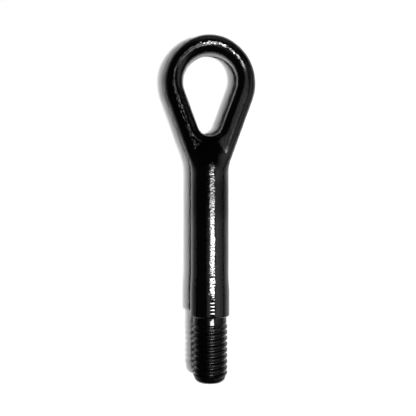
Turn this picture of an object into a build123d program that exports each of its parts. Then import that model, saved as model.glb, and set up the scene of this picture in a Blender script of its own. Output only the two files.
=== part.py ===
"""Tow eye: a one-piece forged steel eye with a turned, threaded shank.

The shank lies along Y, with the eye at +Y and the thread at -Y. The origin is on the shank's
axis, in the plane of the collar's shoulder, which stops the tow eye when it is screwed home.
The plane of the eye is XY.
"""

import os
from math import acos, atan, ceil, cos, degrees, hypot, radians, sin, sqrt, tan

from build123d import *

# Thread
thread_diameter = 18.0
thread_pitch = 3.0
thread_flank_angle = 60.0
crest_width = 0.9
root_width = 0.9
thread_length = 30.3
thread_rise_length = 4.5
full_thread_offset = 4.05

# Tapered and rounded end of the thread
end_taper_length = 4.7
end_corner_diameter = 14.1
end_round = 3.0

# Neck, collar and shank
neck_diameter = 17.0
neck_length = 3.4
collar_diameter = 20.2
collar_length = 13.5
collar_edge_chamfer = 0.6
collar_taper_length = 4.6
shank_diameter = 19.35
shank_length = 79.6

# Eye
eye_centre_distance = 120.3
eye_hole_radius = 13.75
hole_foot_radius = 6.35
leg_angle = 20.0
leg_width = 10.1
flank_excess = 1.7
flank_offset = 2.3
crown_reduction = 4.5
eye_thickness = 13.0
eye_land = 0.4
nose_tip_radius = 2.0
nose_tip_inset = 0.55
crease_round = 1.0

# Worked out from the sizes above
lean_sin = sin(radians(leg_angle))
lean_cos = cos(radians(leg_angle))
thread_radius = thread_diameter / 2
neck_radius = neck_diameter / 2
collar_radius = collar_diameter / 2
shank_radius = shank_diameter / 2
thread_top = -neck_length
thread_end = thread_top - thread_length

foot_centre = eye_centre_distance - (eye_hole_radius - hole_foot_radius) / lean_sin
hole_bottom = foot_centre - hole_foot_radius
nose_tip = hole_bottom - nose_tip_inset
flank_radius = eye_hole_radius + leg_width + flank_excess
flank_centre = eye_centre_distance + (flank_excess - flank_offset * lean_cos) / lean_sin
crown_radius = flank_radius - crown_reduction
crown_centre = flank_centre + sqrt(crown_reduction**2 - flank_offset**2)
crown_angle = degrees(acos(flank_offset / crown_reduction))
crown_width = crown_centre + crown_radius - eye_centre_distance - eye_hole_radius
flank_width = flank_radius - hypot(flank_offset, flank_centre - eye_centre_distance) - eye_hole_radius
legs_meet = eye_centre_distance - (eye_hole_radius + leg_width / 2) / lean_sin
leg_half = leg_width / 2 / lean_cos
eye_round = (min(leg_width, flank_width, crown_width, eye_thickness) - eye_land) / 2

flank_slope = tan(radians(thread_flank_angle / 2))
groove_depth = (thread_pitch - crest_width - root_width) / 2 / flank_slope
groove_clearance = 0.2
groove_mouth = root_width + 2 * (groove_depth + groove_clearance) * flank_slope
full_thread_top = thread_top - full_thread_offset
full_turns = ceil((full_thread_top - thread_end) / thread_pitch) + 1
runout_angle = degrees(atan((groove_depth + groove_clearance) / thread_pitch))
groove_turns = [(full_thread_top - (turn + 1) * thread_pitch, 0) for turn in range(full_turns)]
groove_turns.append((full_thread_top, runout_angle))


def side_point(radius, centre, offset=0):
    """The point on an arc where it runs on into the right-hand leg, its centre left of the axis."""
    return (radius * lean_cos - offset, centre - radius * lean_sin)


def mirrored(point):
    """The same point on the left of the shank's axis."""
    return (-point[0], point[1])


with BuildPart() as tow_eye:
    # Forged eye: a teardrop ring with its legs run on into the shank. Its outline is an arc at the
    # crown and a flatter arc on each flank, centred beyond the axis, that runs on into the leg.
    with BuildSketch():
        with BuildLine():
            flank_turn = leg_angle + crown_angle
            leg_top = side_point(flank_radius, flank_centre, flank_offset)
            leg_foot = (leg_half, legs_meet)
            CenterArc((-flank_offset, flank_centre), flank_radius, -leg_angle, flank_turn)
            CenterArc((0, crown_centre), crown_radius, crown_angle, 180 - 2 * crown_angle)
            CenterArc((flank_offset, flank_centre), flank_radius, 180 - crown_angle, flank_turn)
            Polyline(mirrored(leg_top), mirrored(leg_foot), leg_foot, leg_top)
        make_face()
        with BuildLine():
            hole_right = side_point(eye_hole_radius, eye_centre_distance)
            hole_top = (0, eye_centre_distance + eye_hole_radius)
            foot_right = side_point(hole_foot_radius, foot_centre)
            ThreePointArc(hole_right, hole_top, mirrored(hole_right))
            Line(mirrored(hole_right), mirrored(foot_right))
            ThreePointArc(mirrored(foot_right), (0, hole_bottom), foot_right)
            Line(foot_right, hole_right)
        make_face(mode=Mode.SUBTRACT)
    extrude(amount=eye_thickness / 2, both=True)
    rims = tow_eye.faces().filter_by(Axis.Z).edges()
    fillet(rims.filter_by(lambda rim: rim.center().Y > legs_meet + leg_half), eye_round)

    # Turned body: half its outline, from the end of the thread to the nose between the legs
    with BuildSketch():
        with BuildLine():
            FilletPolyline(
                (0, thread_end),
                (end_corner_diameter / 2, thread_end),
                (thread_radius, thread_end + end_taper_length),
                (thread_radius, thread_top - thread_rise_length),
                (neck_radius, thread_top),
                (neck_radius, 0),
                (collar_radius - collar_edge_chamfer, 0),
                (collar_radius, collar_edge_chamfer),
                (collar_radius, collar_length),
                (shank_radius, collar_length + collar_taper_length),
                (shank_radius, shank_length),
                radius=[end_round, 0, 0, 0, 0, 0, 0, 0, 0],
            )
            TangentArc((shank_radius, shank_length), (nose_tip_radius, nose_tip), tangent=(0, 1))
            Polyline((nose_tip_radius, nose_tip), (0, nose_tip), (0, thread_end))
        make_face()
    revolve(axis=Axis.Y)
    fillet(tow_eye.edges(Select.NEW), crease_round)

    # Thread: whole right-handed turns of a groove, then one that runs out towards the neck
    for start, cone_angle in groove_turns:
        with BuildLine() as turn:
            Helix(
                thread_pitch,
                thread_pitch,
                thread_radius,
                center=(0, start, 0),
                direction=(0, 1, 0),
                cone_angle=cone_angle,
            )
        with BuildSketch(Plane(turn.line @ 0, x_dir=(0, 0, 1), z_dir=turn.line % 0)):
            with BuildLine():
                Polyline(
                    (-groove_depth, -root_width / 2),
                    (groove_clearance, -groove_mouth / 2),
                    (groove_clearance, groove_mouth / 2),
                    (-groove_depth, root_width / 2),
                    close=True,
                )
            make_face()
        sweep(path=turn.line, is_frenet=True, mode=Mode.SUBTRACT)

tow_eye.part.label = "tow_eye"
os.makedirs("parts", exist_ok=True)
export_step(tow_eye.part, "parts/tow_eye.step")
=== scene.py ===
"""Tow eye lying on a white floor, seen from straight above under a softbox."""

from math import cos, hypot, pi, radians, sin, sqrt, tan

import bmesh
import bpy
import numpy as np
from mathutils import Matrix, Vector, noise


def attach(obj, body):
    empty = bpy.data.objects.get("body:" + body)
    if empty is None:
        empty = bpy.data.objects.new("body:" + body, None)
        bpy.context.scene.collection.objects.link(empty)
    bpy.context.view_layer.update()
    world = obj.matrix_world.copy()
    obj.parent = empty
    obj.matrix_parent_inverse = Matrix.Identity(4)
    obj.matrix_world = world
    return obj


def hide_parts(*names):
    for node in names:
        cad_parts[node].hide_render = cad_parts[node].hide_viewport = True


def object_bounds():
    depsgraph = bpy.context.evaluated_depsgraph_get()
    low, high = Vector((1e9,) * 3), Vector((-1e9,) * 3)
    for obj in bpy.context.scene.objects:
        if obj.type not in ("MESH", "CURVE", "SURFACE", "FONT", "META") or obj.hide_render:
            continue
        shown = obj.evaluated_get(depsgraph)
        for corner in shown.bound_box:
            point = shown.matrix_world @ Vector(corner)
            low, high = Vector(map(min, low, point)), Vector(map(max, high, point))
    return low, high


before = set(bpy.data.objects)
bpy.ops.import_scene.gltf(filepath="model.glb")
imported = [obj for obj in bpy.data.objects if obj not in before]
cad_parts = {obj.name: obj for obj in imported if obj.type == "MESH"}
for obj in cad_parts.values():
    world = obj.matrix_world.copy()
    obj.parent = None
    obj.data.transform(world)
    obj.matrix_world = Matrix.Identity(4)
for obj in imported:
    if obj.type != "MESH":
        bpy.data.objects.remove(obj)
cad_low, cad_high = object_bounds()

MM = 0.001

# Sizes of the part in millimetres, as the CAD solid has them. Y runs along the shank from the
# shoulder at 0, with the eye at +Y and the thread at -Y.
THREAD_RADIUS = 9.0
THREAD_PITCH = 3.0
CREST_WIDTH = 0.9
ROOT_WIDTH = 0.9
FLANK_SLOPE = tan(radians(30.0))
FULL_THREAD_TOP = -7.45
THREAD_END = cad_low.y / MM
END_TAPER_LENGTH = 4.7
END_CORNER_RADIUS = 7.05
END_ROUND = 3.0
NECK_RADIUS = 8.5
COLLAR_RADIUS = 10.1
COLLAR_CHAMFER = 0.6
SHANK_START = 18.1
SHANK_RADIUS = 9.675
SHANK_LENGTH = 79.6
EYE_CENTRE = 120.3
HOLE_RADIUS = 13.75
HOLE_FOOT_RADIUS = 6.35
LEAN = radians(20.0)
LEG_WIDTH = 10.1
FLANK_EXCESS = 1.7
FLANK_OFFSET = 2.3
CROWN_REDUCTION = 4.5
EYE_HALF_THICKNESS = 6.5
EYE_LAND = 0.4
NOSE_TIP_RADIUS = 2.0
NOSE_TIP_INSET = 0.55

# Worked out from the sizes above: the thread and its rounded end
THREAD_DEPTH = (THREAD_PITCH - CREST_WIDTH - ROOT_WIDTH) / 2 / FLANK_SLOPE
END_TAPER_RUN = THREAD_RADIUS - END_CORNER_RADIUS
END_TAPER_SIDE = hypot(END_TAPER_RUN, END_TAPER_LENGTH)
END_REACH = END_ROUND * sqrt((END_TAPER_SIDE - END_TAPER_RUN) / (END_TAPER_SIDE + END_TAPER_RUN))
END_CENTRE_RADIUS = END_CORNER_RADIUS - END_REACH
END_CENTRE_Y = THREAD_END + END_ROUND
END_TOUCH_Y = THREAD_END + END_REACH * END_TAPER_LENGTH / END_TAPER_SIDE

# Worked out from the sizes above: the arcs of the eye's outline, the round of its edges and the nose
FLANK_RADIUS = HOLE_RADIUS + LEG_WIDTH + FLANK_EXCESS
FLANK_CENTRE = EYE_CENTRE + (FLANK_EXCESS - FLANK_OFFSET * cos(LEAN)) / sin(LEAN)
FLANK_WIDTH = FLANK_RADIUS - hypot(FLANK_OFFSET, FLANK_CENTRE - EYE_CENTRE) - HOLE_RADIUS
CROWN_RADIUS = FLANK_RADIUS - CROWN_REDUCTION
CROWN_CENTRE = FLANK_CENTRE + sqrt(CROWN_REDUCTION**2 - FLANK_OFFSET**2)
EYE_ROUND = (FLANK_WIDTH - EYE_LAND) / 2
HOLE_FOOT_CENTRE = EYE_CENTRE - (HOLE_RADIUS - HOLE_FOOT_RADIUS) / sin(LEAN)
NOSE_LENGTH = HOLE_FOOT_CENTRE - HOLE_FOOT_RADIUS - NOSE_TIP_INSET - SHANK_LENGTH
NOSE_DROP = SHANK_RADIUS - NOSE_TIP_RADIUS
NOSE_RADIUS = (NOSE_DROP**2 + NOSE_LENGTH**2) / (2 * NOSE_DROP)

# What the skin rounds off, in millimetres. The neck swells towards the thread, first slowly and then
# quickly. Past the full thread the groove's floor rises by the lifts, each at its number of turns.
NECK_RISE_FOOT = 0.88
NECK_RISE_RADIUS = 43.0
NECK_STEP_FOOT = -4.2
NECK_STEP_RADIUS = 4.0
RUN_OUT_TURNS = (0, 0.25, 0.75, 1.25, 1.5, 1.75, 2.0)
RUN_OUT_LIFTS = (0, 0.25, 0.36, 0.4, 0.62, 1.0, 1.3)
ROOT_BLEND = 0.1
ROOT_FILLET = 0.06
ROOT_FILLET_REACH = 0.15
CREST_ROUND = 0.08
SHOULDER_ROUND = 0.25
SHOULDER_ROUND_MIDDLE = 0.07
COLLAR_FULL = 11.0
COLLAR_TAPER_END = SHANK_START + 3.0
CREASE_ROUND = 1.1

# Rings of the collar's rounded chamfer: how far out from the chamfer's lower edge, and y
CHAMFER_RINGS = ((-0.15, 0.0), (-0.02, 0.02), (0.1, 0.1), (0.5, 0.5))

# What the skin adds, in millimetres: a shallow hollow along the thread's crests, which fades over a
# stretch at each end, the feed marks of the turned collar, and the waves of the forged skin, each
# with its length and height
HOLLOW_DEPTH = 0.025
HOLLOW_WIDTH = 0.35
HOLLOW_AT_END = (-31.0, -29.0)
HOLLOW_AT_NECK = (-4.5, -6.0)
FEED_MARK_PITCH = 1.75
FEED_MARK_DEPTH = 0.0165
FORGED_START = 7.0
FORGED_FULL = 11.0
FORGED_WAVES = ((6.0, 0.045), (2.6, 0.016))

# Rings at the top of the chamfer: how far out from the collar's radius, and y
COLLAR_EDGE_RINGS = ((-0.03, 0.65), (-FEED_MARK_DEPTH, 0.8))

# The skin's mesh: the first and last ring of the thread's rows, the places of the rows from the
# middle of a root, the joint between the turned grid and the forged part, and its fineness
END_RING_Y = THREAD_END + 1.1
NECK_RING_Y = -1.6
ROW_PLACES = (0, 0.2, 0.35, 0.43, 0.5, 0.62, 0.75, 0.88, 1.0, 1.07, 1.15, 1.3)
TURNS_ABOVE = 2
TURNS_SPARE = 4
END_RINGS = 9
TIP_RING_RADIUS = 0.3
NECK_RINGS = 12
COLLAR_RINGS_START = 1.0
COLLAR_RINGS = 96
SHANK_RINGS_START = COLLAR_TAPER_END + 0.3
SHANK_RINGS = 7
JOIN_Y = 24.0
JOIN_GAP = 0.5
VOXEL = 0.52
SIDES = 128
TURNS = np.arange(SIDES) / SIDES
SLOPE_STEP = 0.02
LEAST_SLOPE = 0.1
SURFACE_STEPS = 6
MERGE_DIGITS = 6

# The photograph's frame: its side in pixels, the pixels of a millimetre at the shank's axis, the
# pixel where the axis meets the shoulder's plane, and the camera's height above the axis in pixels
IMAGE_SIDE = 416
PIXELS_PER_MM = 1.945
SHOULDER_PIXEL = (209.8, 315.64)
CAMERA_PIXELS = 620.0
SENSOR_WIDTH = 36.0
CLIP_START = 0.01

# Floor, in metres: the part's middle and half its length, how far from the part the floor grows dark in
# reflections, how much sooner it does so on the left, and where it becomes a plain backdrop. The dark in
# reflections is painted shade. The floor's colour, seen only in reflections, is painted darker away from the
# part and sooner on its left, standing in for less light on the floor there
FLOOR_HALF_SIZE = 4.0
PART_MIDDLE = 0.055
PART_HALF_LENGTH = 0.088
FLOOR_SHADE_FADE = (0.0, 0.14)
FLOOR_SHADE_LEFT_FACTOR = 2.3
FLOOR_WHITE = 0.96
FLOOR_PAINTED_SHADE = 0.25
FLOOR_ROUGHNESS = 0.9
BACKDROP_START = (0.1, 0.35)
WHITE = (1, 1, 1, 1)

# Light of the room on the floor and in reflections
ROOM_ON_FLOOR = 0.015
ROOM_IN_REFLECTIONS = 0.02

# Paint: its gloss, roughness and grain, and the stretches in metres over which they change
PAINT_COLOUR = (0.0008, 0.0008, 0.0008, 1)
PAINT_IOR = 1.5
GLOSS = 0.5
EYE_GLOSS = 0.05
THREAD_GLOSS = 0.73
NECK_GLOSS = 0.55
UPPER_SHANK_GLOSS = 0.5
ROUGHNESS = 0.07
THREAD_ROUGHNESS = 0.2
EYE_RIGHT_ROUGHNESS = 0.2
GLOSSY_THREAD_TOP = (-0.0075, -0.0055)
ROUGH_THREAD_TOP = (-0.006, -0.0035)
NECK_EDGE = (-0.0008, -0.0002)
UPPER_SHANK_START = (0.043, 0.058)
UPPER_SHANK_END = (0.064, 0.076)
NOSE_START = (0.0715, 0.0785)
NOSE_END = (0.091, 0.095)
NOSE_SIDE = (0.0035, 0.0068)
EYE_START = (0.078, 0.088)
EYE_FACE = (0.0058, 0.0063)
EYE_RIGHT = (-0.002, 0.006)
CROWN_START = (0.122, 0.131)
CROWN_RIGHT = (-0.01, 0.0)
GRAIN_SCALE = 1150.0
GRAIN_HEIGHT = 0.0002
COLLAR_GRAIN = 0.04
COLLAR_GRAIN_START = (-0.001, 0.0)
FORGED_GRAIN = 0.31
FORGED_GRAIN_START = (FORGED_START * MM, FORGED_FULL * MM)
LEG_GRAIN = 0.14
LEG_GRAIN_START = (0.075, 0.085)
CROWN_GRAIN = 0.1
CROWN_GRAIN_START = (0.118, 0.126)

# Light panels: the name, the stretches of x and y in metres, the radiance, what the panel lights, and
# its turn in degrees. The keys light the floor and cast the shadow. The lamps make the highlights,
# and the halos and glows the dim sheen round them.
PANEL_HEIGHT = 3.0
PANELS = (
    ("key_wide", (0.15, 0.95), (-0.55, -0.35), 104.5, "floor", 0.0),
    ("key_edge", (0.95, 1.2), (-0.55, -0.35), 433.0, "floor", 0.0),
    ("lamp", (0.448, 1.498), (-0.32, -0.08), 50.0, "reflection", -8.0),
    ("lamp_edge", (0.105, 0.455), (-0.223, 0.017), 32.0, "reflection", -8.0),
    ("halo", (-0.2, 0.1), (-0.9, 0.1), 0.9, "reflection", 0.0),
    ("halo_wide", (-0.9, -0.2), (-0.9, 0.1), 0.4, "reflection", 0.0),
    ("lamp_end", (0.2, 1.55), (-0.12, 0.08), 60.0, "reflection", 0.0),
    ("lamp_far", (-0.1, 0.52), (0.7, 0.88), 60.0, "reflection", 0.0),
    ("glow", (1.9, 5.0), (-2.0, 2.0), 0.88, "reflection", 0.0),
    ("glow_far", (5.0, 12.0), (-4.0, 4.0), 0.55, "reflection", 0.0),
    ("glow_low", (12.0, 30.0), (-8.0, 8.0), 0.45, "reflection", 0.0),
    ("glow_back", (-3.0, 3.0), (3.6, 14.0), 0.4, "reflection", 0.0),
)


def smooth_step(low, high, value):
    """0 where the value is at low, 1 where it is at high, and a smooth rise between them."""
    t = np.clip((value - low) / (high - low), 0, 1)
    return t * t * (3 - 2 * t)


def smooth_min(a, b, k):
    """The smaller of a and b, rounded where they cross."""
    h = np.clip(0.5 + 0.5 * (b - a) / k, 0, 1)
    return b + (a - b) * h - k * h * (1 - h)


# Forged part


def nose_and_shank(p):
    """Distance from the plain shank with its rounded nose."""
    radius = np.hypot(p[:, 0], p[:, 2])
    past = np.maximum(p[:, 1] - SHANK_LENGTH, 0)
    return np.hypot(radius - SHANK_RADIUS + NOSE_RADIUS, past) - NOSE_RADIUS


def along_leg(x, y):
    """How far a point lies up along the right-hand leg, where 0, 0 is the centre of an arc."""
    return x * sin(LEAN) + y * cos(LEAN)


def arc_and_leg(x, y):
    """Distance from the arc's centre, or below the arc's end the distance across the leg."""
    return np.where(along_leg(x, y) > 0, np.hypot(x, y), x * cos(LEAN) - y * sin(LEAN))


def eye_ring(p):
    """Distance from the eye, a teardrop ring of rounded section."""
    side = np.abs(p[:, 0])
    hole_y = p[:, 1] - EYE_CENTRE
    foot_y = p[:, 1] - HOLE_FOOT_CENTRE
    flank_x = side + FLANK_OFFSET
    flank_y = p[:, 1] - FLANK_CENTRE
    crown_y = p[:, 1] - CROWN_CENTRE

    above_flank = flank_y * FLANK_OFFSET > flank_x * (CROWN_CENTRE - FLANK_CENTRE)
    crown = np.hypot(side, crown_y) - CROWN_RADIUS
    outside = np.where(above_flank, crown, arc_and_leg(flank_x, flank_y) - FLANK_RADIUS)
    foot = np.hypot(side, foot_y) - HOLE_FOOT_RADIUS
    hole = np.where(along_leg(side, foot_y) < 0, foot, arc_and_leg(side, hole_y) - HOLE_RADIUS)

    inward = np.maximum(outside, -hole) + EYE_ROUND
    upward = np.abs(p[:, 2]) - EYE_HALF_THICKNESS + EYE_ROUND
    corner = np.hypot(np.maximum(inward, 0), np.maximum(upward, 0))
    return corner - EYE_ROUND + np.minimum(np.maximum(inward, upward), 0)


def forging(p):
    """Distance from the forged part, with the crease between the legs and the nose rounded."""
    a = nose_and_shank(p)
    b = eye_ring(p)
    corner = np.hypot(np.maximum(CREASE_ROUND - a, 0), np.maximum(CREASE_ROUND - b, 0))
    return np.maximum(CREASE_ROUND, np.minimum(a, b)) - corner


def slope_of(field, p):
    """How the field changes along X, Y and Z at each point."""
    columns = []
    for axis in range(3):
        offset = np.zeros(3)
        offset[axis] = SLOPE_STEP
        columns.append((field(p + offset) - field(p - offset)) / (2 * SLOPE_STEP))
    return np.stack(columns, axis=1)


def onto_surface(p):
    """The points moved onto the forged part's surface."""
    for _ in range(SURFACE_STEPS):
        slope = slope_of(forging, p)
        p = p - slope * (forging(p) / np.maximum((slope**2).sum(1), LEAST_SLOPE))[:, None]
    return p


def forging_cage(solid):
    """A bmesh of even faces round the solid above the joint, in millimetres."""
    copy = bpy.data.objects.new("cage", solid.data.copy())
    bpy.context.scene.collection.objects.link(copy)
    remesh = copy.modifiers.new("remesh", "REMESH")
    remesh.mode = "VOXEL"
    remesh.voxel_size = VOXEL * MM
    depsgraph = bpy.context.evaluated_depsgraph_get()
    mesh = bpy.data.meshes.new_from_object(copy.evaluated_get(depsgraph))
    cage = bmesh.new()
    cage.from_mesh(mesh)
    bmesh.ops.scale(cage, vec=(1 / MM,) * 3, verts=cage.verts)
    everything = cage.verts[:] + cage.edges[:] + cage.faces[:]
    bmesh.ops.bisect_plane(
        cage, geom=everything, plane_co=(0, JOIN_Y, 0), plane_no=(0, 1, 0), clear_inner=True
    )
    bpy.data.objects.remove(copy)
    bpy.data.meshes.remove(mesh)
    return cage


# Turned part


def blank_radius(y):
    """Radius of the neck and of the thread's blank, before the groove is cut."""
    taper = THREAD_RADIUS - (THREAD_END + END_TAPER_LENGTH - y) * END_TAPER_RUN / END_TAPER_LENGTH
    below_centre = np.minimum(y - END_CENTRE_Y, 0)
    rounded = END_CENTRE_RADIUS + np.sqrt(np.maximum(END_ROUND**2 - below_centre**2, 0))
    end = np.where(y > END_TOUCH_Y, taper, rounded)
    rise = np.maximum(NECK_RISE_FOOT - y, 0) ** 2 / (2 * NECK_RISE_RADIUS)
    step = np.maximum(NECK_STEP_FOOT - y, 0) ** 2 / (2 * NECK_STEP_RADIUS)
    return np.minimum(np.minimum(end, NECK_RADIUS + rise + step), THREAD_RADIUS)


def thread_radius(y, turn):
    """Radius of the thread at y, where turn is the angle from +Z towards +X as a share of a turn."""
    steps = (y - FULL_THREAD_TOP) / THREAD_PITCH - turn
    from_root = (steps - np.round(steps)) * THREAD_PITCH
    turns_past = (y - from_root - FULL_THREAD_TOP) / THREAD_PITCH
    lift = np.interp(turns_past, RUN_OUT_TURNS, RUN_OUT_LIFTS)
    flank = (np.sqrt(from_root**2 + ROOT_BLEND**2) - ROOT_WIDTH / 2) / FLANK_SLOPE
    groove = np.maximum(flank, 0) + ROOT_FILLET * np.exp(-np.abs(flank) / ROOT_FILLET_REACH)
    from_crest = np.abs(from_root) - THREAD_PITCH / 2
    hollowed = smooth_step(*HOLLOW_AT_END, y) * smooth_step(*HOLLOW_AT_NECK, y)
    hollow = HOLLOW_DEPTH * hollowed * np.exp(-((from_crest / HOLLOW_WIDTH) ** 2))
    return smooth_min(blank_radius(y) - hollow, THREAD_RADIUS - THREAD_DEPTH + lift + groove, CREST_ROUND)


def collar_radius(y):
    """Radius of the collar with its feed marks, and of its taper to the shank."""
    share = smooth_step(COLLAR_FULL, COLLAR_TAPER_END, y)
    turned = 1 - smooth_step(FORGED_START, FORGED_FULL, y)
    wave = sin(2 * pi * max(y, FEED_MARK_PITCH) / FEED_MARK_PITCH)
    radius = COLLAR_RADIUS + (SHANK_RADIUS - COLLAR_RADIUS) * share
    return radius + FEED_MARK_DEPTH * turned * (wave - 1)


def ring(radius, y):
    """Points round the axis, from +Z towards +X. Radius and y may be numbers or rows of them."""
    angle = 2 * pi * TURNS
    x = radius * np.sin(angle)
    return np.stack([x, np.broadcast_to(y, x.shape), radius * np.cos(angle)], axis=-1)


def thread_rows():
    """Points and faces of the thread, in rows that follow its helix and end at two plain rings."""
    half = np.array(ROW_PLACES)
    places = np.concatenate([half, [THREAD_PITCH / 2], THREAD_PITCH - half[:0:-1]])
    count = len(places)
    pitches = int((NECK_RING_Y - END_RING_Y) / THREAD_PITCH) + TURNS_SPARE
    first = FULL_THREAD_TOP + THREAD_PITCH * TURNS_ABOVE
    starts = np.concatenate([first - k * THREAD_PITCH - places for k in range(pitches)])
    y = np.clip(starts[:, None] + THREAD_PITCH * TURNS[None, :], END_RING_Y, NECK_RING_Y)
    points = ring(thread_radius(y, TURNS[None, :]), y).reshape(-1, 3)
    faces = []
    for i in range(len(starts) - 1):
        for j in range(SIDES):
            if j < SIDES - 1:
                right = (i * SIDES + j + 1, (i + 1) * SIDES + j + 1)
            else:
                right = (max(i - count, 0) * SIDES, max(i + 1 - count, 0) * SIDES)
            faces.append((i * SIDES + j, right[0], right[1], (i + 1) * SIDES + j))
    return points, faces


class Grid:
    """Points and faces of the turned part, in rings of SIDES points."""

    def __init__(self, points, faces):
        self.points = [points]
        self.faces = faces

    def count(self):
        return sum(len(points) for points in self.points)

    def add_rings(self, rings):
        """Adds rings of points and joins each of them to the next."""
        start = self.count()
        self.points.extend(rings)
        for i in range(len(rings) - 1):
            near = start + i * SIDES
            far = near + SIDES
            for j in range(SIDES):
                k = (j + 1) % SIDES
                self.faces.append((near + j, near + k, far + k, far + j))

    def close_last_ring(self, point):
        """Adds a point and joins the last ring to it."""
        tip = self.count()
        last = tip - SIDES
        self.points.append(np.array([point]))
        self.faces += [(last + j, last + (j + 1) % SIDES, tip) for j in range(SIDES)]


def end_rings():
    """Rings of the thread's rounded end and flat end face, down to a small one round the axis."""
    start = np.arcsin((END_CENTRE_Y - END_RING_Y) / END_ROUND)
    rings = []
    for angle in np.linspace(start, pi / 2, END_RINGS):
        rings.append(ring(END_CENTRE_RADIUS + END_ROUND * cos(angle), END_CENTRE_Y - END_ROUND * sin(angle)))
    for radius in np.linspace(END_CENTRE_RADIUS, TIP_RING_RADIUS, END_RINGS)[1:]:
        rings.append(ring(radius, THREAD_END))
    return rings


def body_rings():
    """Rings of the neck, shoulder, collar and shank, up to the joint."""
    edge = COLLAR_RADIUS - COLLAR_CHAMFER
    neck = np.linspace(NECK_RING_Y, -SHOULDER_ROUND, NECK_RINGS)
    collar = np.linspace(COLLAR_RINGS_START, COLLAR_TAPER_END, COLLAR_RINGS)
    shank = np.linspace(SHANK_RINGS_START, JOIN_Y - JOIN_GAP, SHANK_RINGS)
    outline = [(float(blank_radius(y)), y) for y in neck]
    outline.append((NECK_RADIUS + SHOULDER_ROUND_MIDDLE, -SHOULDER_ROUND_MIDDLE))
    outline.append((NECK_RADIUS + SHOULDER_ROUND, 0))
    outline += [(edge + out, y) for out, y in CHAMFER_RINGS]
    outline += [(COLLAR_RADIUS + out, y) for out, y in COLLAR_EDGE_RINGS]
    outline += [(collar_radius(y), y) for y in collar]
    outline += [(SHANK_RADIUS, y) for y in shank]
    return [ring(radius, y) for radius, y in outline]


def turned_grid():
    """Points and faces of the thread, neck, collar and lower shank, in millimetres."""
    grid = Grid(*thread_rows())
    grid.add_rings(end_rings())
    grid.close_last_ring((0, THREAD_END, 0))
    grid.add_rings(body_rings())
    return np.concatenate(grid.points), grid.faces


def merged(points, faces):
    """The same faces with points at one place made one, and faces with no area left out."""
    keys = np.round(points, MERGE_DIGITS) + 0.0
    unique, index = np.unique(keys, axis=0, return_inverse=True)
    index = index.reshape(-1)
    kept = []
    seen = set()
    for face in faces:
        loop = []
        for corner in face:
            n = int(index[corner])
            if n not in loop:
                loop.append(n)
        mark = tuple(sorted(loop))
        if len(loop) > 2 and mark not in seen:
            seen.add(mark)
            kept.append(loop)
    return unique, kept


# Skin


def forged_unevenness(place):
    """Height of the forged skin's slow waves at a place, none on the turned part."""
    share = float(smooth_step(FORGED_START, FORGED_FULL, place.y))
    return share * sum(depth * noise.noise(place / length) for length, depth in FORGED_WAVES)


def make_skin(solid):
    """The part's outer skin as one closed mesh: the forged part joined to the turned grid."""
    skin = forging_cage(solid)
    places = onto_surface(np.array([v.co for v in skin.verts]))
    for vert, place in zip(skin.verts, places):
        vert.co = place
    points, faces = merged(*turned_grid())
    verts = [skin.verts.new(place) for place in points]
    for face in faces:
        skin.faces.new([verts[n] for n in face])
    bmesh.ops.bridge_loops(skin, edges=[e for e in skin.edges if e.is_boundary])
    bmesh.ops.recalc_face_normals(skin, faces=skin.faces)
    skin.normal_update()
    for vert in skin.verts:
        if vert.co.y > FORGED_START:
            vert.co += vert.normal * forged_unevenness(vert.co)
    bmesh.ops.scale(skin, vec=(MM,) * 3, verts=skin.verts)
    mesh = bpy.data.meshes.new("tow_eye_skin")
    skin.to_mesh(mesh)
    skin.free()
    mesh.shade_smooth()
    piece = bpy.data.objects.new("tow_eye_skin", mesh)
    bpy.context.scene.collection.objects.link(piece)
    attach(piece, "root")
    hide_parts("tow_eye")
    return piece


# Camera and lights


def make_camera():
    """A camera that looks straight down, framed as the photograph is."""
    data = bpy.data.cameras.new("camera")
    data.sensor_width = SENSOR_WIDTH
    data.lens = SENSOR_WIDTH * CAMERA_PIXELS / IMAGE_SIDE
    data.clip_start = CLIP_START
    camera = bpy.data.objects.new("camera", data)
    bpy.context.scene.collection.objects.link(camera)
    centre = IMAGE_SIDE / 2
    camera.location = (
        (centre - SHOULDER_PIXEL[0]) / PIXELS_PER_MM * MM,
        (SHOULDER_PIXEL[1] - centre) / PIXELS_PER_MM * MM,
        CAMERA_PIXELS / PIXELS_PER_MM * MM,
    )
    bpy.context.scene.camera = camera


def make_panel(name, x_range, y_range, radiance, lights, turn):
    """A level panel that faces down and lights the floor alone, or shows in reflections alone."""
    data = bpy.data.lights.new(name, "AREA")
    data.shape = "RECTANGLE"
    data.size = x_range[1] - x_range[0]
    data.size_y = y_range[1] - y_range[0]
    data.energy = radiance * pi * data.size * data.size_y
    panel = bpy.data.objects.new(name, data)
    panel.location = (sum(x_range) / 2, sum(y_range) / 2, PANEL_HEIGHT)
    panel.rotation_euler = (0, 0, radians(turn))
    panel.visible_diffuse = lights == "floor"
    panel.visible_glossy = lights == "reflection"
    bpy.context.scene.collection.objects.link(panel)


def make_world():
    """White behind the floor, dim light on the floor, and almost nothing in reflections."""
    world = bpy.data.worlds.new("room")
    world.use_nodes = True
    nodes = world.node_tree.nodes
    links = world.node_tree.links
    path = nodes.new("ShaderNodeLightPath")
    lit = nodes.new("ShaderNodeMix")
    lit.inputs["A"].default_value = ROOM_ON_FLOOR
    lit.inputs["B"].default_value = ROOM_IN_REFLECTIONS
    links.new(path.outputs["Is Glossy Ray"], lit.inputs["Factor"])
    seen = nodes.new("ShaderNodeMix")
    seen.inputs["B"].default_value = 1.0
    links.new(path.outputs["Is Camera Ray"], seen.inputs["Factor"])
    links.new(lit.outputs["Result"], seen.inputs["A"])
    background = nodes["Background"]
    background.inputs["Color"].default_value = WHITE
    links.new(seen.outputs["Result"], background.inputs["Strength"])
    bpy.context.scene.world = world


# Nodes of the materials


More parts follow.
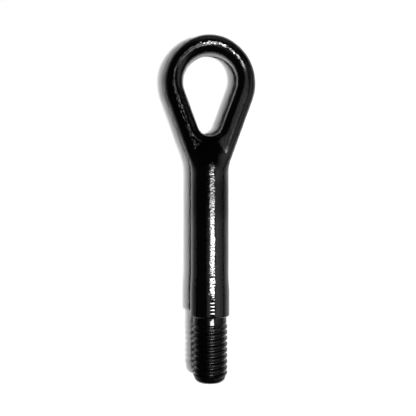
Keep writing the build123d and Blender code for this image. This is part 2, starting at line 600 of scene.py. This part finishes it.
def add_math(tree, operation, first, second=0.0):
    """A Math node of one or two inputs, each a socket or a number."""
    node = tree.nodes.new("ShaderNodeMath")
    node.operation = operation
    for socket, value in zip(node.inputs, (first, second)):
        if isinstance(value, float):
            socket.default_value = value
        else:
            tree.links.new(value, socket)
    return node.outputs["Value"]


def add_product(tree, first, *others):
    """The product of several sockets."""
    for other in others:
        first = add_math(tree, "MULTIPLY", first, other)
    return first


def add_step(tree, value, stretch, before, after):
    """A Map Range node that goes smoothly from one number to another over a stretch of the value."""
    node = tree.nodes.new("ShaderNodeMapRange")
    node.interpolation_type = "SMOOTHSTEP"
    tree.links.new(value, node.inputs["Value"])
    node.inputs["From Min"].default_value = stretch[0]
    node.inputs["From Max"].default_value = stretch[1]
    node.inputs["To Min"].default_value = before
    node.inputs["To Max"].default_value = after
    return node.outputs["Result"]


def add_rise(tree, value, stretch):
    """0 before the stretch and 1 after it."""
    return add_step(tree, value, stretch, 0.0, 1.0)


def add_fall(tree, value, stretch):
    """1 before the stretch and 0 after it."""
    return add_step(tree, value, stretch, 1.0, 0.0)


def add_place(tree):
    """The sockets of the object's coordinates, as a vector and as X, Y and Z."""
    place = tree.nodes.new("ShaderNodeTexCoord").outputs["Object"]
    split = tree.nodes.new("ShaderNodeSeparateXYZ")
    tree.links.new(place, split.inputs["Vector"])
    return place, split.outputs["X"], split.outputs["Y"], split.outputs["Z"]


# Floor


def add_distance(tree):
    """The distance on the floor from the part's axis and its ends, stretched on the left."""
    _, x, y, _ = add_place(tree)
    from_middle = add_math(tree, "ABSOLUTE", add_math(tree, "SUBTRACT", y, PART_MIDDLE))
    past_end = add_math(tree, "MAXIMUM", add_math(tree, "SUBTRACT", from_middle, PART_HALF_LENGTH), 0.0)
    aside = add_math(tree, "MAXIMUM", x, add_math(tree, "MULTIPLY", x, -FLOOR_SHADE_LEFT_FACTOR))
    square = add_math(tree, "ADD", add_product(tree, aside, aside), add_product(tree, past_end, past_end))
    return add_math(tree, "SQRT", square)


def make_floor_white_and_painted_shade():
    """White that is painted darker in reflections away from the part, a painted shade, and a plain backdrop
    far from it.
    """
    material = bpy.data.materials.new("floor_white")
    material.use_nodes = True
    tree = material.node_tree
    distance = add_distance(tree)
    path = tree.nodes.new("ShaderNodeLightPath")
    # Painted shade: seen in reflections, the floor's white is painted darker away from the part, and sooner
    # on the left
    painted_shade_mix = tree.nodes.new("ShaderNodeMix")
    painted_shade_mix.inputs["A"].default_value = FLOOR_WHITE
    tree.links.new(path.outputs["Is Glossy Ray"], painted_shade_mix.inputs["Factor"])
    tree.links.new(add_step(tree, distance, FLOOR_SHADE_FADE, FLOOR_WHITE, FLOOR_PAINTED_SHADE), painted_shade_mix.inputs["B"])
    shader = tree.nodes["Principled BSDF"]
    shader.inputs["Roughness"].default_value = FLOOR_ROUGHNESS
    shader.inputs["Specular IOR Level"].default_value = 0.0
    tree.links.new(painted_shade_mix.outputs["Result"], shader.inputs["Base Color"])
    backdrop = tree.nodes.new("ShaderNodeEmission")
    backdrop.inputs["Color"].default_value = WHITE
    backdrop.inputs["Strength"].default_value = 1.0
    far = add_rise(tree, distance, BACKDROP_START)
    blend = tree.nodes.new("ShaderNodeMixShader")
    tree.links.new(add_product(tree, far, path.outputs["Is Camera Ray"]), blend.inputs["Fac"])
    tree.links.new(shader.outputs["BSDF"], blend.inputs[1])
    tree.links.new(backdrop.outputs["Emission"], blend.inputs[2])
    tree.links.new(blend.outputs["Shader"], tree.nodes["Material Output"].inputs["Surface"])
    return material


def make_floor():
    """A floor on which the part rests at the collar and at the far end of the shank."""
    half = FLOOR_HALF_SIZE
    slope = (COLLAR_RADIUS - SHANK_RADIUS) / (SHANK_LENGTH - COLLAR_FULL)
    front, back = (cad_low.z + slope * (y - COLLAR_FULL * MM) for y in (-half, half))
    corners = [(-half, -half, front), (half, -half, front), (half, half, back), (-half, half, back)]
    mesh = bpy.data.meshes.new("floor")
    mesh.from_pydata(corners, [], [(0, 1, 2, 3)])
    mesh.materials.append(make_floor_white_and_painted_shade())
    floor = bpy.data.objects.new("floor", mesh)
    bpy.context.scene.collection.objects.link(floor)


# Paint


def add_gloss(tree, dull, x, y):
    """The paint's gloss, lower on the thread, neck, upper shank and nose, and where it is dull."""
    on_nose = add_product(
        tree,
        add_rise(tree, y, NOSE_START),
        add_fall(tree, y, NOSE_END),
        add_fall(tree, add_math(tree, "ABSOLUTE", x), NOSE_SIDE),
    )
    on_upper_shank = add_product(
        tree, add_rise(tree, y, UPPER_SHANK_START), add_fall(tree, y, UPPER_SHANK_END)
    )
    return add_product(
        tree,
        add_step(tree, dull, (0.0, 1.0), GLOSS, EYE_GLOSS),
        add_math(tree, "SUBTRACT", 1.0, on_nose),
        add_step(tree, y, GLOSSY_THREAD_TOP, THREAD_GLOSS, 1.0),
        add_step(tree, y, NECK_EDGE, NECK_GLOSS, 1.0),
        add_step(tree, on_upper_shank, (0.0, 1.0), 1.0, UPPER_SHANK_GLOSS),
    )


def add_grain(tree, place, y):
    """The normal of a fine grain, strongest on the eye, faint on the collar and none on the thread."""
    on_collar = add_step(tree, y, COLLAR_GRAIN_START, 0.0, COLLAR_GRAIN)
    on_forging = add_step(tree, y, FORGED_GRAIN_START, 0.0, FORGED_GRAIN)
    on_legs = add_product(
        tree,
        add_rise(tree, y, LEG_GRAIN_START),
        add_step(tree, y, CROWN_GRAIN_START, LEG_GRAIN, CROWN_GRAIN),
    )
    strength = add_math(tree, "ADD", add_math(tree, "ADD", on_collar, on_forging), on_legs)
    grain = tree.nodes.new("ShaderNodeTexNoise")
    grain.inputs["Scale"].default_value = GRAIN_SCALE
    grain.inputs["Detail"].default_value = 0.0
    tree.links.new(place, grain.inputs["Vector"])
    bump = tree.nodes.new("ShaderNodeBump")
    bump.inputs["Distance"].default_value = GRAIN_HEIGHT
    tree.links.new(strength, bump.inputs["Strength"])
    tree.links.new(grain.outputs["Fac"], bump.inputs["Height"])
    return bump.outputs["Normal"]


def make_paint():
    """Black paint with a fine grain, dull on the faces of the eye but not on the crown's right half."""
    material = bpy.data.materials.new("black_paint")
    material.use_nodes = True
    tree = material.node_tree
    place, x, y, z = add_place(tree)
    on_crown = add_product(tree, add_rise(tree, y, CROWN_START), add_rise(tree, x, CROWN_RIGHT))
    dull = add_product(
        tree,
        add_rise(tree, y, EYE_START),
        add_math(tree, "SUBTRACT", 1.0, on_crown),
        add_rise(tree, add_math(tree, "ABSOLUTE", z), EYE_FACE),
    )
    rough_right = add_product(tree, dull, add_step(tree, x, EYE_RIGHT, 0.0, EYE_RIGHT_ROUGHNESS))
    rough = add_step(tree, y, ROUGH_THREAD_TOP, THREAD_ROUGHNESS, ROUGHNESS)
    shader = tree.nodes["Principled BSDF"]
    shader.inputs["Base Color"].default_value = PAINT_COLOUR
    shader.inputs["IOR"].default_value = PAINT_IOR
    tree.links.new(add_gloss(tree, dull, x, y), shader.inputs["Specular IOR Level"])
    tree.links.new(add_math(tree, "ADD", rough, rough_right), shader.inputs["Roughness"])
    tree.links.new(add_grain(tree, place, y), shader.inputs["Normal"])
    return material


make_camera()
make_floor()
make_world()
paint = make_paint()
skin = make_skin(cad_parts["tow_eye"])
skin.data.materials.append(paint)
for panel in PANELS:
    make_panel(*panel)

bpy.context.scene.view_settings.view_transform = "Standard"
